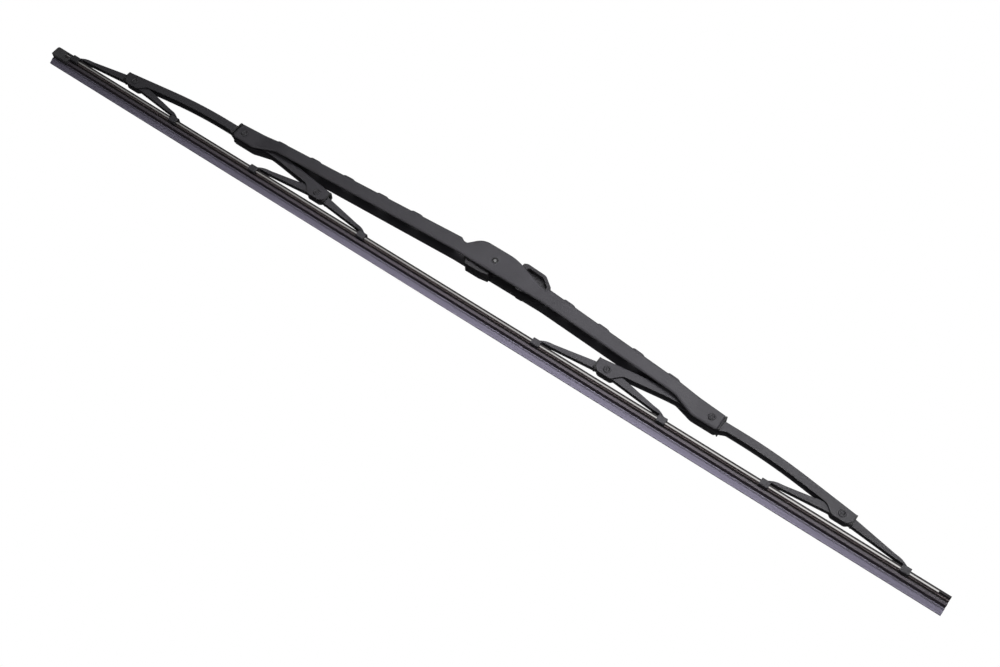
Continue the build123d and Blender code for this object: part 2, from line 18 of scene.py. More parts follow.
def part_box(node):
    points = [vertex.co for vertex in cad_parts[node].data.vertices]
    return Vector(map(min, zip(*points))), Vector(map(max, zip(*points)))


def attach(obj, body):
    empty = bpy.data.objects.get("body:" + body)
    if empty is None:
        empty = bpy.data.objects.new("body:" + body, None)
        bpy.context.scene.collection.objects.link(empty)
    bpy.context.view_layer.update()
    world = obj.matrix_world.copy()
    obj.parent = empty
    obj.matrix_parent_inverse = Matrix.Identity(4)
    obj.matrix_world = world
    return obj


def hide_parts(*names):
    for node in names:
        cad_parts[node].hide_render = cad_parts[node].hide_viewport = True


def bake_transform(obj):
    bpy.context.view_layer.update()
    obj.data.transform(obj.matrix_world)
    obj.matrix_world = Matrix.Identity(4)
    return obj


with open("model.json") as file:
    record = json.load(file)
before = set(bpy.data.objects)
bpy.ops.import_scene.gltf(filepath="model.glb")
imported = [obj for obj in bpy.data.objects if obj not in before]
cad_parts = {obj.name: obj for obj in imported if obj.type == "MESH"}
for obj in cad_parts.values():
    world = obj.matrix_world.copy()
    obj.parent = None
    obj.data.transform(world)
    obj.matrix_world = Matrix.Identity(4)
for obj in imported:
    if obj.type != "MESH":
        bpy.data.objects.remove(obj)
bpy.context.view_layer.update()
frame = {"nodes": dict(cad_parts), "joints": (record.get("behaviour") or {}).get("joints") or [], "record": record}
nodes = frame["nodes"]
pivot = {joint["child"]: Vector(joint["pos_m"]) for joint in frame["joints"]}
mm = 0.001

# %% [markdown]
# ## Camera
# The photograph looks up at the blade from below and from its right, with the picture turned so
# that the blade runs down to the right. A camera is easiest to place by what it looks at: the
# compass angle, the rise and the roll of its line of sight, and its distance from a target.

# %% Camera at the photograph's viewing angle
sight_azimuth = math.radians(-18.29)
sight_rise = math.radians(23.0)
sight_roll = math.radians(39.1)
sight_target = Vector((26.85, 0.0, -33.24)) * mm
sight_distance = 753.2 * mm
lens_length = 50.0
nearest_seen = 10.0 * mm

forward = Vector((math.sin(sight_azimuth) * math.cos(sight_rise),
                  math.cos(sight_azimuth) * math.cos(sight_rise),
                  math.sin(sight_rise)))
level_right = Vector((math.cos(sight_azimuth), -math.sin(sight_azimuth), 0.0))
level_up = level_right.cross(forward)
right = level_right * math.cos(sight_roll) + level_up * math.sin(sight_roll)
up = level_up * math.cos(sight_roll) - level_right * math.sin(sight_roll)

camera = bpy.data.objects.new("camera", bpy.data.cameras.new("camera"))
bpy.context.scene.collection.objects.link(camera)
camera.data.lens = lens_length
camera.data.clip_start = nearest_seen
turned = Matrix((right, up, -forward)).transposed().to_4x4()
camera.matrix_world = Matrix.Translation(sight_target - forward * sight_distance) @ turned
bpy.context.scene.camera = camera
bpy.context.scene.view_settings.view_transform = "Standard"
print("camera stands at", [round(c, 3) for c in camera.matrix_world.translation])

# %% [markdown]
# ## Building node trees
# Materials, the sky and Geometry Nodes are all trees of nodes. They could be wired line by line,
# but a few small helpers make each tree read like a recipe: add a node, feed its sockets by name,
# and take what comes out.

# %% Helpers for node trees
def add_node(tree, kind, **settings):
    """Adds a node and sets its properties."""
    made = tree.nodes.new(kind)
    for name, value in settings.items():
        setattr(made, name, value)
    return made


def feed(tree, target, values):
    """Sets a node's inputs by name or number, from sockets or plain values."""
    for name, value in values.items():
        if isinstance(value, bpy.types.NodeSocket):
            tree.links.new(value, target.inputs[name])
        else:
            target.inputs[name].default_value = value
    return target


def maths(tree, operation, a, b):
    """A Math node's result."""
    return feed(tree, add_node(tree, "ShaderNodeMath", operation=operation), {0: a, 1: b}).outputs[0]


def remap(tree, value, start, end, low=0.0, high=1.0, **settings):
    """A value that goes from low to high while another goes from start to end."""
    return feed(tree, add_node(tree, "ShaderNodeMapRange", **settings), {
        "Value": value, "From Min": start, "From Max": end, "To Min": low, "To Max": high}).outputs[0]


print("helpers: add_node, feed, maths, remap")

# %% [markdown]
# ## Light and ground
# Black steel shows its form by what it mirrors, so the surroundings matter as much as the lamps.
# The camera sees a white sky. Gloss sees that sky dim towards the capped end and behind the blade,
# as in a studio with its soft box at the front on one side. Glowing planes could do the same, but a
# shaded sky hides nothing from any side. A lamp with a grid stands at the front on the same side, a
# weak one lights the undersides, and one behind lights the far side. The camera looks up, so the pale
# floor lies well below the blade. It is nearly white to the camera only, and the blade neither
# mirrors it nor gets light from it.

# %% World: white to look at, softer as light
white = (1.0, 1.0, 1.0, 1.0)
sky_dim = 0.12
sky_bright = 0.90
sky_behind = 0.06
sky_fill = 0.05
dim_from_x = -0.56
bright_from_x = -0.15
behind_from_y = 0.3
front_from_y = -0.5

world = bpy.data.worlds.new("studio")
bpy.context.scene.world = world
world.use_nodes = True
sky = world.node_tree
sky.nodes.clear()
seen_by = add_node(sky, "ShaderNodeLightPath").outputs
direction = feed(sky, add_node(sky, "ShaderNodeSeparateXYZ"), {
    "Vector": add_node(sky, "ShaderNodeTexCoord").outputs["Generated"]}).outputs
side_share = remap(sky, direction["X"], dim_from_x, bright_from_x, sky_dim, sky_bright)
front_share = remap(sky, direction["Y"], behind_from_y, front_from_y, sky_behind, 1.0,
                    interpolation_type="SMOOTHSTEP")
mirrored = maths(sky, "MULTIPLY", side_share, front_share)
mirror_ray = maths(sky, "MAXIMUM", seen_by["Is Glossy Ray"], seen_by["Is Transmission Ray"])
fill_or_mirror = feed(sky, add_node(sky, "ShaderNodeMix"), {
    "Factor": mirror_ray, "A": sky_fill, "B": mirrored}).outputs["Result"]
strength = feed(sky, add_node(sky, "ShaderNodeMix"), {
    "Factor": seen_by["Is Camera Ray"], "A": fill_or_mirror, "B": 1.0}).outputs["Result"]
background = feed(sky, add_node(sky, "ShaderNodeBackground"), {"Color": white, "Strength": strength})
feed(sky, add_node(sky, "ShaderNodeOutputWorld"), {"Surface": background.outputs[0]})
print("sky nodes:", len(sky.nodes))


# %% Lamps
def soft_lamp(name, place, aim, size, watts, beam=180.0):
    """A square area lamp that looks at a point. A beam under 180 degrees puts a grid before it."""
    lamp = bpy.data.objects.new(name, bpy.data.lights.new(name, "AREA"))
    bpy.context.scene.collection.objects.link(lamp)
    lamp.data.size = size
    lamp.data.energy = watts
    lamp.data.spread = math.radians(beam)
    lamp.visible_glossy = False
    lamp.visible_camera = False
    lamp.location = place
    lamp.rotation_mode = "QUATERNION"
    lamp.rotation_quaternion = (Vector(aim) - Vector(place)).to_track_quat("-Z", "Y")


soft_lamp("key_lamp", place=(0.13, -0.60, 0.18), aim=(0.09, 0.0, 0.0), size=0.35, watts=0.78, beam=60.0)
soft_lamp("low_lamp", place=(0.60, -1.00, -0.45), aim=(0.1, 0.0, -0.03), size=0.8, watts=3.0)
soft_lamp("back_lamp", place=(-0.30, 1.10, 0.45), aim=(0.0, 0.0, 0.0), size=0.9, watts=22.0)

# %% Floor
floor_level = -1.0
floor_half = 60.0
floor_corners = ((-1, -1), (1, -1), (1, 1), (-1, 1))

floor_mesh = bpy.data.meshes.new("floor")
floor_mesh.from_pydata([(x * floor_half, y * floor_half, floor_level) for x, y in floor_corners],
                       [], [(0, 1, 2, 3)])
floor = bpy.data.objects.new("floor", floor_mesh)
bpy.context.scene.collection.objects.link(floor)
floor.visible_diffuse = False
floor.visible_glossy = False
print("floor lies at", floor_level, "m")

# %% [markdown]
# ## Finishes
# Every finish starts from Blender's Principled shader. Image textures could give the fine detail,
# but noise on Object coordinates needs no image, and its grain keeps its true size in millimetres
# on every piece. The Bevel node rounds the look of the pressed edges, and the angle between the
# rounded and the true normal tells where an edge is, so the edges can be coloured lighter there,
# for wear and as a painted sheen.

# %% A new finish and its grain
coarse_detail = 2.0
middle_detail = 3.0
fine_detail = 4.0


def new_finish(name):
    """A material with its tree, its shader and its Object coordinates."""
    finish = bpy.data.materials.new(name)
    finish.use_nodes = True
    tree = finish.node_tree
    tree.nodes.clear()
    shader = add_node(tree, "ShaderNodeBsdfPrincipled")
    feed(tree, add_node(tree, "ShaderNodeOutputMaterial"), {"Surface": shader.outputs[0]})
    return finish, tree, shader, add_node(tree, "ShaderNodeTexCoord").outputs["Object"]


def grain(tree, coordinates, size, detail=middle_detail, along=1.0):
    """Noise whose blotches are about size across, and drawn out along the blade by a factor."""
    mapping = feed(tree, add_node(tree, "ShaderNodeMapping"), {
        "Vector": coordinates, "Scale": [1.0 / (size * along), 1.0 / size, 1.0 / size]})
    noise = feed(tree, add_node(tree, "ShaderNodeTexNoise"), {
        "Vector": mapping.outputs[0], "Scale": 1.0, "Detail": detail})
    return noise.outputs["Fac"]


print("finish tools: new_finish, grain")

# %% Mixing colours
# A Mix node's colour sockets share their names with its number sockets, so they go by number.
mix_colour_a = 6
mix_colour_b = 7
mix_colour_out = 2


def opaque(colour, shade=1.0):
    """A colour made darker or lighter, with its alpha."""
    return [shade * c for c in colour] + [1.0]


def blend_colour(tree, share, low, high):
    """A colour between two, by a share from 0 to 1."""
    mix = add_node(tree, "ShaderNodeMix", data_type="RGBA")
    feed(tree, mix, {"Factor": share, mix_colour_a: low, mix_colour_b: high})
    return mix.outputs[mix_colour_out]


def colour_ramp(tree, share, stops):
    """A colour that passes through several stops as a share goes from 0 to 1."""
    ramp = feed(tree, add_node(tree, "ShaderNodeValToRGB"), {"Fac": share})
    points = ramp.color_ramp.elements
    while len(points) < len(stops):
        points.new(0.5)
    for point, (place, colour) in zip(points, stops):
        point.position = place
        point.color = colour
    return ramp.outputs["Color"]


print("colour tools: opaque, blend_colour, colour_ramp")

# %% Edges and bumps
bevel_samples = 6
flat_facing = 0.99
edge_facing = 0.85


def rounded_edges(tree, radius):
    """A normal with its sharp edges rounded, and a mask that is 1 on those edges."""
    bevel = feed(tree, add_node(tree, "ShaderNodeBevel", samples=bevel_samples), {"Radius": radius})
    true_normal = add_node(tree, "ShaderNodeNewGeometry").outputs["Normal"]
    facing = feed(tree, add_node(tree, "ShaderNodeVectorMath", operation="DOT_PRODUCT"), {
        0: bevel.outputs[0], 1: true_normal})
    return bevel.outputs[0], remap(tree, facing.outputs["Value"], flat_facing, edge_facing)


def bumped(tree, height, depth, normal=None):
    """A normal pushed by a height of that depth in metres."""
    bump = feed(tree, add_node(tree, "ShaderNodeBump"), {
        "Height": height, "Strength": 1.0, "Distance": depth})
    if normal is not None:
        feed(tree, bump, {"Normal": normal})
    return bump.outputs[0]


print("edge tools: rounded_edges, bumped")

# %% [markdown]
# ## Black paint on pressed steel
# The levers are dipped in black paint, which leaves an orange-peel skin, faint clouds and thin spots
# on the edges. Those edges are coloured lighter, partly for the thin paint and partly as a painted
# sheen where they catch the light. Wear could be painted on by hand, but the mask from the Bevel node
# finds every edge by itself. One recipe makes all the black steel. The cross pin is worn bare in the
# middle of its end, so the recipe can also take a radius round the pin's own axis.

# %% Paint for the levers, the pin and the rivets
paint_edge = 0.30 * mm
cloud_size = 18 * mm
cloud_range = (0.7, 1.3)
peel_size = 0.55 * mm
peel_depth = 0.012 * mm
scuff_size = 3 * mm
scuff_range = (0.1, 0.9)
smear_size = 6 * mm
smear_gloss = 0.07
bare_rim = (1.15, 0.85)


def near_axis(tree, where, radius):
    """A mask that is 1 within a radius of the Y axis, which is the cross pin's own."""
    across = feed(tree, add_node(tree, "ShaderNodeVectorMath", operation="MULTIPLY"), {
        0: where, 1: (1.0, 0.0, 1.0)})
    away = feed(tree, add_node(tree, "ShaderNodeVectorMath", operation="LENGTH"), {
        0: across.outputs[0]})
    return remap(tree, away.outputs["Value"], *[rim * radius for rim in bare_rim])


def black_paint(name, colour, worn_and_sheen, roughness, bare_radius=None):
    """A dipped black paint: an orange-peel skin, faint clouds, and lighter edges of worn paint and painted sheen.
    """
    finish, tree, shader, where = new_finish(name)
    normal, edge = rounded_edges(tree, paint_edge)
    clouds = grain(tree, where, cloud_size, fine_detail)
    peel = grain(tree, where, peel_size, coarse_detail)
    smears = grain(tree, where, smear_size, fine_detail)
    scuffs = remap(tree, grain(tree, where, scuff_size), 0.0, 1.0, *scuff_range)
    paint = blend_colour(tree, clouds, *[opaque(colour, shade) for shade in cloud_range])
    # Painted sheen: the edges are coloured lighter partly for thin, worn paint and partly for the light they
    # catch.
    edge_wear_and_sheen = maths(tree, "MULTIPLY", edge, scuffs)
    if bare_radius:
        edge_wear_and_sheen = maths(tree, "MAXIMUM", edge_wear_and_sheen, near_axis(tree, where, bare_radius))
    feed(tree, shader, {
        "Base Color": blend_colour(tree, edge_wear_and_sheen, paint, opaque(worn_and_sheen)),
        "Roughness": remap(tree, smears, 0.0, 1.0, roughness - smear_gloss, roughness + smear_gloss),
        "Normal": bumped(tree, peel, peel_depth, normal),
    })
    return finish


paints = {
    "bridge_paint": {"colour": (0.0408, 0.0392, 0.0450), "worn_and_sheen": (0.09, 0.09, 0.095), "roughness": 0.45},
    "pin_steel": {"colour": (0.010, 0.010, 0.011), "worn_and_sheen": (0.26, 0.26, 0.265), "roughness": 0.40,
                  "bare_radius": 0.75 * mm},
    "rivet_steel": {"colour": (0.031, 0.030, 0.034), "worn_and_sheen": (0.10, 0.10, 0.105), "roughness": 0.36},
}
finishes = {name: black_paint(name, **look) for name, look in paints.items()}
print("paints:", sorted(paints))

# %% [markdown]
# ## Moulded plastics
# The adapter, the bushes and the end cap are black plastic from moulds with a fine spark-eroded
# skin. That skin is far too fine to model, so a very small bump gives it. The edges are coloured a
# little lighter, partly where hands and levers rub them and partly as a painted sheen.

# %% Plastic for the adapter, the bushes and the cap
plastic_edge = 0.20 * mm
rubbed_and_sheen_share = 0.35
rubbed_and_sheen_plastic = (0.12, 0.12, 0.125)
spark_size = 0.22 * mm
spark_depth = 0.008 * mm
tone_size = 9 * mm
tone_range = (0.75, 1.25)
tone_gloss = 0.06


def moulded_plastic(name, colour, roughness):
    """Black plastic with the fine spark-eroded grain of its mould."""
    finish, tree, shader, where = new_finish(name)
    normal, edge = rounded_edges(tree, plastic_edge)
    sparks = grain(tree, where, spark_size, coarse_detail)
    tone = grain(tree, where, tone_size)
    body = blend_colour(tree, tone, *[opaque(colour, shade) for shade in tone_range])
    # Painted sheen: the edges are coloured lighter partly for rubbing and partly for the light they catch.
    rubbed_and_sheen = maths(tree, "MULTIPLY", edge, rubbed_and_sheen_share)
    feed(tree, shader, {
        "Base Color": blend_colour(tree, rubbed_and_sheen, body, opaque(rubbed_and_sheen_plastic)),
        "Roughness": remap(tree, tone, 0.0, 1.0, roughness - tone_gloss, roughness + tone_gloss),
        "Normal": bumped(tree, sparks, spark_depth, normal),
    })
    return finish


plastics = {
    "bush_plastic": {"colour": (0.022, 0.022, 0.023), "roughness": 0.42},
    "adapter_plastic": {"colour": (0.029, 0.028, 0.031), "roughness": 0.40},
    "cap_plastic": {"colour": (0.085, 0.084, 0.088), "roughness": 0.48},
}
for name, look in plastics.items():
    finishes[name] = moulded_plastic(name, **look)
print("plastics:", sorted(plastics))

# %% [markdown]
# ## Bright spring steel
# The rails are strips of rolled spring steel, so they carry fine marks along their length. An
# anisotropic shader could hint at them, but noise drawn out along the blade shows them as they are.

# %% Steel for the rails
mark_size = 0.10 * mm
mark_along = 120.0
mark_depth = 0.003 * mm
mark_gloss = (0.26, 0.40)
stain_size = 14 * mm
stain_along = 3.0
stained_steel = (0.70, 0.68, 0.66)
clean_steel = (0.84, 0.83, 0.82)


def rolled_steel(name):
    """Bright strip with rolling marks along its length."""
    finish, tree, shader, where = new_finish(name)
    marks = grain(tree, where, mark_size, along=mark_along)
    stains = grain(tree, where, stain_size, fine_detail, along=stain_along)
    feed(tree, shader, {
        "Base Color": blend_colour(tree, stains, opaque(stained_steel), opaque(clean_steel)),
        "Metallic": 1.0,
        "Roughness": remap(tree, marks, 0.0, 1.0, *mark_gloss),
        "Normal": bumped(tree, marks, mark_depth),
    })
    return finish


finishes["rail_steel"] = rolled_steel("rail_steel")
print("steel nodes:", len(finishes["rail_steel"].node_tree.nodes))

# %% [markdown]
# ## Squeegee rubber
# The squeegee is black rubber, and its lip has a grey slip coat so that it glides on glass. Each
# colour could be a material of its own on its own faces, but soft borders need one material. The
# strip bends, so its colours can't go by the place in space. The sweep stores each point's height
# in an attribute instead, and the colours go by that: painted shade on the head and in the neck,
# which are coloured dark, a painted lit band on the flange between them, coloured lighter and
# browner, and grey on the lip, with a dark line below its root.

# %% Colours of the rubber and of its slip coat
slip_tint = (1.09, 1.0, 1.38)
slip_shades = [(0.0, 0.190), (0.09, 0.210), (0.13, 0.045), (0.21, 0.045), (0.27, 0.190), (0.42, 0.240),
               (0.75, 0.250), (1.0, 0.330)]
slip_streak = (0.10, 0.094, 0.116)
streak_share = 0.6
streak_size = 0.50 * mm
streak_along = 90.0
streak_depth = 0.010 * mm
streak_gloss = (0.42, 0.58)
rubber_dark = (0.0575, 0.0495, 0.0595)
rubber_light = (0.0855, 0.0735, 0.0885)
rubber_tone_size = 22 * mm
# Painted shade: the head and the neck are coloured darker than the bare rubber, for the shade they lie in.
head_and_neck_painted_shade = (0.0160, 0.0138, 0.0150)
# Painted light: the flange under the rails is coloured lighter and browner than the bare rubber, as a painted lit
# band.
flange_painted_light = (0.135, 0.108, 0.114)
sharp_border = 0.05 * mm
soft_border = 0.1 * mm
print("shades down the lip:", len(slip_shades))


# %% Rubber with its slip coat
def coated_rubber(name, rail, flange, shoulder, lip, edge):
    """Black rubber with a grey slip coat on its lip, by heights along the section, with painted shade on the head
    and neck and painted light on the flange.
    """
    finish, tree, shader, where = new_finish(name)
    height = add_node(tree, "ShaderNodeAttribute", attribute_name="depth").outputs["Fac"]
    on_lip = remap(tree, height, lip + sharp_border, lip - sharp_border)
    down_lip = remap(tree, height, lip, edge)
    over_shoulder = remap(tree, height, shoulder - soft_border, shoulder + soft_border)
    over_neck = remap(tree, height, flange - sharp_border, flange + sharp_border)
    under_rail = remap(tree, height, rail + sharp_border, rail - sharp_border)
    on_flange = maths(tree, "MULTIPLY", over_neck, under_rail)
    streaks = grain(tree, where, streak_size, along=streak_along)
    tone = grain(tree, where, rubber_tone_size, fine_detail)
    bare = blend_colour(tree, tone, opaque(rubber_dark), opaque(rubber_light))
    # Painted shade on the head and in the neck, and painted light on the flange between them.
    painted_shade_and_light = blend_colour(tree, on_flange, opaque(head_and_neck_painted_shade), opaque(flange_painted_light))
    body = blend_colour(tree, over_shoulder, bare, painted_shade_and_light)
    coat = colour_ramp(tree, down_lip, [
        (place, opaque(slip_tint, shade)) for place, shade in slip_shades])
    thin_coat = maths(tree, "MULTIPLY", streaks, streak_share)
    streaked = blend_colour(tree, thin_coat, coat, opaque(slip_streak))
    feed(tree, shader, {
        "Base Color": blend_colour(tree, on_lip, body, streaked),
        "Roughness": remap(tree, streaks, 0.0, 1.0, *streak_gloss),
        "Normal": bumped(tree, streaks, streak_depth),
    })
    return finish


print("rubber recipe: coated_rubber")

# %% [markdown]
# ## Pale floor
# The floor is matt and pale. Strong lamps could make it white, but they would flood the blade, so the
# floor glows for the camera's rays alone and still takes what shadow falls on it.

# %% Finish of the floor
floor_glow = 0.92
floor_shades = (0.86, 0.90)
floor_roughness = 0.9
dust_size = 0.4


def pale_floor():
    """A matt pale ground that the camera sees nearly as white as the sky."""
    finish, tree, shader, where = new_finish("pale_floor")
    dust = grain(tree, where, dust_size, coarse_detail)
    camera_ray = add_node(tree, "ShaderNodeLightPath").outputs["Is Camera Ray"]
    feed(tree, shader, {
        "Base Color": blend_colour(tree, dust, *[opaque(white[:3], shade) for shade in floor_shades]),
        "Roughness": floor_roughness,
        "Emission Color": white,
        "Emission Strength": maths(tree, "MULTIPLY", camera_ray, floor_glow),
    })
    return finish


floor_mesh.materials.append(pale_floor())
print("floor finish:", floor_mesh.materials[0].name)

# %% [markdown]
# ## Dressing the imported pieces
# The levers, bushes, pin, adapter and cap keep their own meshes. They could be dressed one by one,
# but the model's record names a material slot for every piece, so going by the slots gives all
# pieces of one material the same finish and leaves none out.

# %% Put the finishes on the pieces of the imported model
slot_of = {row["node"]: row["material_slot"] for row in frame["record"]["subparts"]}
for node, piece in nodes.items():
    if slot_of[node] in finishes:
        for slot in piece.material_slots:
            slot.material = finishes[slot_of[node]]
print("finishes:", sorted(finishes))

# %% [markdown]
# ## The squeegee and its rails
# The rubber is one extruded section: a head with grooves for the rails, a flange under them, a neck
# for the claws' fingers, a shoulder, a thin hinge and the wiping lip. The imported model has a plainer
# one. Its mesh could be bent, but it has no rings along its length to bend at. A section swept along
# a line is the strip's whole shape, so the section is drawn first, as half of it and its mirror image.

# %% Measures in millimetres: across the blade, and down from the rails' middle plane
rubber_low, rubber_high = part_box("rubber_squeegee")
rail_low, rail_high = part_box("flexor_rail_back")
rail_level = (rail_low.z + rail_high.z) / 2
rail_inner, rail_outer = rail_low.y / mm, rail_high.y / mm
rail_thick_half = (rail_high.z - rail_low.z) / 2 / mm
rail_fit = 0.05

head_half = 3.3
head_swell = 0.1
head_top = (rubber_high.z - rail_level) / mm + head_swell
groove_half = rail_thick_half + rail_fit
groove_in = rail_inner - rail_fit
flange_half = 2.55
flange_bottom = 1.0
neck_half = 1.2
shoulder_half = (rubber_high.y - rubber_low.y) / 2 / mm
shoulder_top = 2.40
shoulder_bottom = 4.0
hinge_half = 0.55
lip_half = 2.2
lip_top = 5.15
lip_root = 0.45
bead_out = 0.16
bead_top = 5.85
bead_bottom = 6.25
bead_ramp = 0.1
edge_half = 0.4
edge_bottom = (rail_level - rubber_low.z) / mm
lip_slope = (lip_half - edge_half) / (edge_bottom - lip_top - lip_root)
print("rubber from top to edge:", round(head_top + edge_bottom, 2), "mm")


# %% Outlines of the rubber and of a rail
def lip_side(depth):
    """Half width of the lip's wedge at a depth."""
    return edge_half + lip_slope * (edge_bottom - depth)


def mirrored_side(outline):
    """The same outline on the other side of the blade's middle plane, in reverse order."""
    return [(-across, depth) for across, depth in reversed(outline)]


near_half = [
    (0.0, -head_top), (head_half, -head_top), (head_half, -groove_half), (groove_in, -groove_half),
    (groove_in, groove_half), (flange_half, groove_half), (flange_half, flange_bottom),
    (neck_half, flange_bottom), (neck_half, shoulder_top),
    (shoulder_half, shoulder_top), (shoulder_half, shoulder_bottom), (hinge_half, shoulder_bottom),
    (hinge_half, lip_top), (lip_half, lip_top), (lip_half, lip_top + lip_root),
    (lip_side(bead_top), bead_top), (lip_side(bead_top) + bead_out, bead_top + bead_ramp),
    (lip_side(bead_bottom) + bead_out, bead_bottom - bead_ramp), (lip_side(bead_bottom), bead_bottom),
    (edge_half, edge_bottom), (0.0, edge_bottom),
]
rubber_section = near_half + mirrored_side(near_half[1:-1])
rail_section = [(rail_inner, -rail_thick_half), (rail_outer, -rail_thick_half),
                (rail_outer, rail_thick_half), (rail_inner, rail_thick_half)]
print("corners of the rubber's section:", len(rubber_section))


# %% The sections as curves
def section_curve(name, outlines):
    """A curve object with a closed poly spline for each outline."""
    curve = bpy.data.curves.new(name, "CURVE")
    curve.dimensions = "3D"
    for outline in outlines:
        spline = curve.splines.new("POLY")
        spline.points.add(len(outline) - 1)
        spline.use_cyclic_u = True
        for point, (across, depth) in zip(spline.points, outline):
            point.co = (across * mm, depth * mm, 0.0, 1.0)
    return bpy.data.objects.new(name, curve)


squeegee_outline = section_curve("squeegee_outline", [rubber_section])
rails_outline = section_curve("rails_outline", [rail_section, mirrored_side(rail_section)])
print("rails side by side:", len(rails_outline.data.splines))

# %% [markdown]
# ## Sweeping a section
# A die gives rubber its section, and rollers give a rail its own. The rings of such a strip could be
# built one by one in Python, but Geometry Nodes say it in one chain: Fillet Curve rounds the corners
# of the section, a line is cut into rings, and Curve to Mesh sweeps the section along it. The rings
# lie close together.

# %% How a tree begins and ends
def new_tree(name, inputs):
    """A Geometry Nodes tree with named inputs and one geometry output."""
    tree = bpy.data.node_groups.new(name, "GeometryNodeTree")
    for label, kind in inputs:
        tree.interface.new_socket(label, in_out="INPUT", socket_type=kind)
    tree.interface.new_socket("Geometry", in_out="OUTPUT", socket_type="NodeSocketGeometry")
    return tree, add_node(tree, "NodeGroupInput").outputs


def close_tree(tree, shape, finish):
    """Makes a tree's instances real, gives them their finish and hands them out."""
    whole = feed(tree, add_node(tree, "GeometryNodeRealizeInstances"), {"Geometry": shape})
    dressed = feed(tree, add_node(tree, "GeometryNodeSetMaterial"), {
        "Geometry": whole.outputs[0], "Material": finish})
    feed(tree, add_node(tree, "NodeGroupOutput"), {"Geometry": dressed.outputs[0]})
    return tree


print("tree tools: new_tree, close_tree")

# %% The sweeping tree
corner_points = 3


def sweep_tree():
    """Sweeps a section along X, rounds its corners and stores each point's height."""
    tree, given = new_tree("swept_section", [
        ("Section", "NodeSocketObject"), ("Start", "NodeSocketVector"), ("End", "NodeSocketVector"),
        ("Rings", "NodeSocketInt"), ("Corner", "NodeSocketFloat"), ("Finish", "NodeSocketMaterial")])
    section = feed(tree, add_node(tree, "GeometryNodeObjectInfo"), {"Object": given["Section"]})
    rounded = feed(tree, add_node(tree, "GeometryNodeFilletCurve", mode="POLY"), {
        "Curve": section.outputs["Geometry"], "Radius": given["Corner"], "Count": corner_points,
        "Limit Radius": True})
    line = feed(tree, add_node(tree, "GeometryNodeCurvePrimitiveLine"), {
        "Start": given["Start"], "End": given["End"]})
    rings = feed(tree, add_node(tree, "GeometryNodeResampleCurve"), {
        "Curve": line.outputs[0], "Count": given["Rings"]})
    upright = feed(tree, add_node(tree, "GeometryNodeSetCurveNormal", mode="Z_UP"), {
        "Curve": rings.outputs[0]})
    sweep = feed(tree, add_node(tree, "GeometryNodeCurveToMesh"), {
        "Curve": upright.outputs[0], "Profile Curve": rounded.outputs[0], "Fill Caps": True})
    place = feed(tree, add_node(tree, "ShaderNodeSeparateXYZ"), {
        "Vector": add_node(tree, "GeometryNodeInputPosition").outputs[0]})
    store = add_node(tree, "GeometryNodeStoreNamedAttribute", data_type="FLOAT", domain="POINT")
    feed(tree, store, {"Geometry": sweep.outputs[0], "Name": "depth", "Value": place.outputs["Z"]})
    return close_tree(tree, store.outputs[0], given["Finish"])


swept_section = sweep_tree()
print("sweeping nodes:", len(swept_section.nodes))


# %% Run a tree and keep its mesh
def made_by(tree, name, values, carrier=None):
    """Runs a tree with its inputs set and keeps the result as a plain mesh object at the origin."""
    mesh = carrier or bpy.data.meshes.new(name + "_carrier")
    holder = bpy.data.objects.new(name + "_holder", mesh)
    bpy.context.scene.collection.objects.link(holder)
    modifier = holder.modifiers.new("shape", "NODES")
    modifier.node_group = tree
    for item in tree.interface.items_tree:
        if item.in_out == "INPUT" and item.name in values:
            modifier[item.identifier] = values[item.name]
    ready = holder.evaluated_get(bpy.context.evaluated_depsgraph_get())
    result = bpy.data.meshes.new_from_object(ready)
    bpy.data.objects.remove(holder)
    result.name = name
    piece = bpy.data.objects.new(name, result)
    bpy.context.scene.collection.objects.link(piece)
    return piece


print("tree runner: made_by")

# %% [markdown]
# ## Which lever holds which length
# The strip crosses many pivots, so it can't ride on one lever, and is swept in lengths. On each side
# these pass from the bridge to the secondary bridge, to the inner yoke, back to the secondary bridge
# between the yokes, and to the outer yoke. Each length is listed with two levers, the place where it
# leaves the first and the place where it joins the second; the lengths are not tied to them here.
# Between its two claws a yoke holds the strip alone.
# The places could all be typed in, but those taken from the yokes stay right if the model is resized.

# %% Where each length starts and ends, and the two levers that hold it
hand_over = 44.0 * mm
middle_x = (pivot["yoke_inner_left"].x + pivot["yoke_inner_right"].x) / 2


def half_length(node):
    """Half the length of a piece along the blade."""
    low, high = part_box(node)
    return (high.x - low.x) / 2


lengths = []
for side, outwards in (("left", -1), ("right", 1)):
    second = "secondary_" + side
    inner_yoke = "yoke_inner_" + side
    outer_yoke = "yoke_outer_" + side
    inner_x = pivot[inner_yoke].x
    outer_x = pivot[outer_yoke].x
    inner_reach = outwards * half_length("inner_yoke_" + side)
    outer_reach = outwards * half_length("outer_yoke_" + side)
    turn = middle_x + outwards * hand_over
    between = (inner_x + inner_reach + outer_x - outer_reach) / 2
    rubber_end = rubber_low.x if outwards < 0 else rubber_high.x
    rail_end = rail_low.x if outwards < 0 else rail_high.x
    lengths += [
        {"levers": ("bridge", second), "start": middle_x, "rubber_end": turn, "rail_end": turn,
         "leaves": middle_x, "joins": turn},
        {"levers": (second, inner_yoke), "start": turn, "rubber_end": inner_x, "rail_end": inner_x,
         "leaves": turn, "joins": inner_x - inner_reach},
        {"levers": (inner_yoke, second), "start": inner_x, "rubber_end": between, "rail_end": between,
         "leaves": inner_x + inner_reach, "joins": between},
        {"levers": (second, outer_yoke), "start": between,
         "rubber_end": rubber_end, "rail_end": rail_end,
         "leaves": between, "joins": outer_x - outer_reach},
    ]
print("lengths of strip:", len(lengths))

